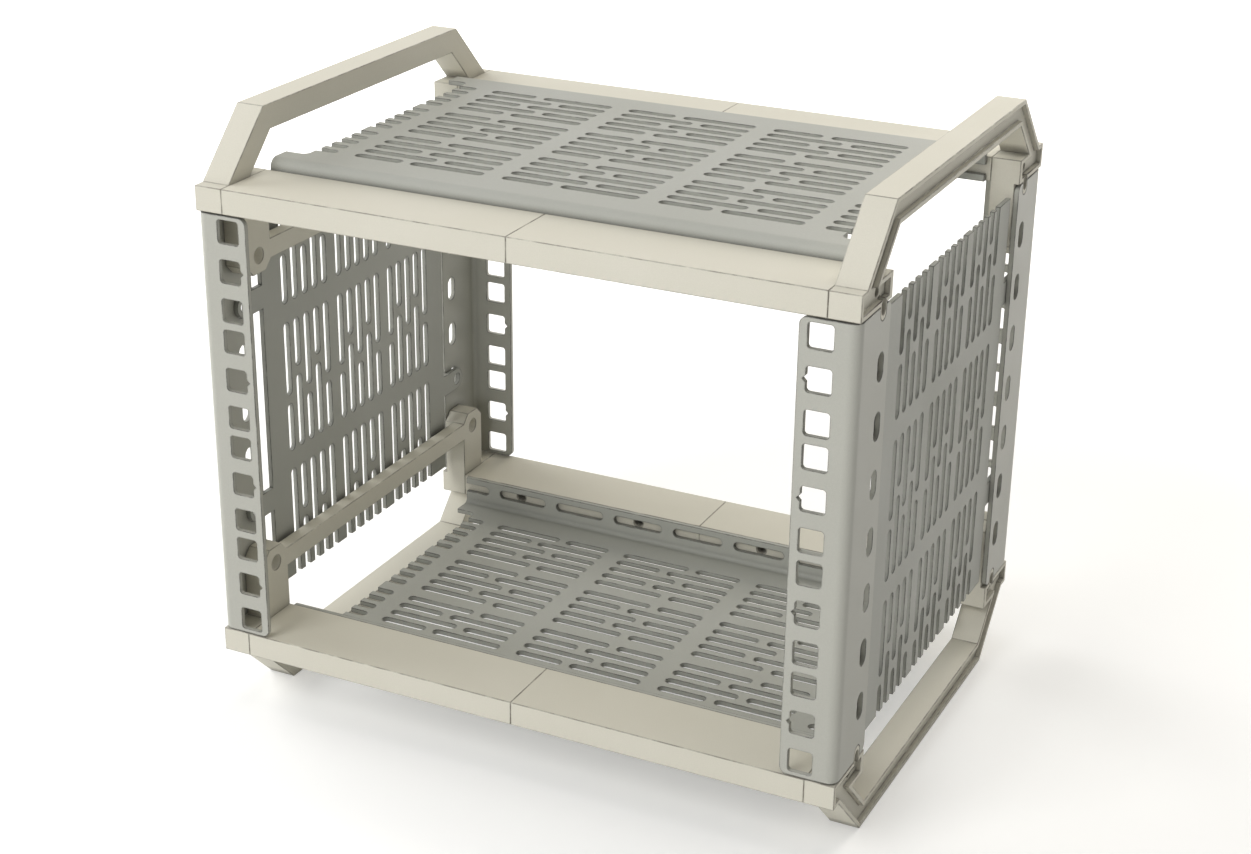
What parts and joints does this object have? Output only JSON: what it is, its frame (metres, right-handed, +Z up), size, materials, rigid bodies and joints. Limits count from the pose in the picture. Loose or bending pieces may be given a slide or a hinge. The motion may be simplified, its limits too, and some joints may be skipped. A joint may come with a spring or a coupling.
{
  "type": "small open server rack",
  "caption": "Open desktop server rack with folded square-hole rails, slotted side panels and trays, and loop side frames that serve as handles and feet.",
  "frame": {"origin": "middle of the rack's footprint, on the ground under the feet", "axes": "+X to the rack's right seen from the front, +Y from front to rear, +Z up"},
  "size_m": [0.268, 0.2082, 0.2488],
  "materials": {
    "moulded_ivory": "fine matt moulded surface",
    "rail_coat": "smooth satin powder coat, light grey",
    "sheet_coat": "smooth satin powder coat, grey"
  },
  "bodies": {
    "root": {"rail_front_left": "rail_coat", "rail_front_right": "rail_coat", "rail_rear_left": "rail_coat", "rail_rear_right": "rail_coat", "side_frame_top_left": "moulded_ivory", "side_frame_top_right": "moulded_ivory", "side_frame_bottom_left": "moulded_ivory", "side_frame_bottom_right": "moulded_ivory", "beam_top_front_left": "moulded_ivory", "beam_top_front_right": "moulded_ivory", "beam_top_rear_left": "moulded_ivory", "beam_top_rear_right": "moulded_ivory", "beam_bottom_front_left": "moulded_ivory", "beam_bottom_front_right": "moulded_ivory", "beam_bottom_rear_left": "moulded_ivory", "beam_bottom_rear_right": "moulded_ivory", "tray_top": "sheet_coat", "tray_bottom": "sheet_coat", "side_panel_left": "sheet_coat", "side_panel_right": "sheet_coat"}
  },
  "joints": []
}
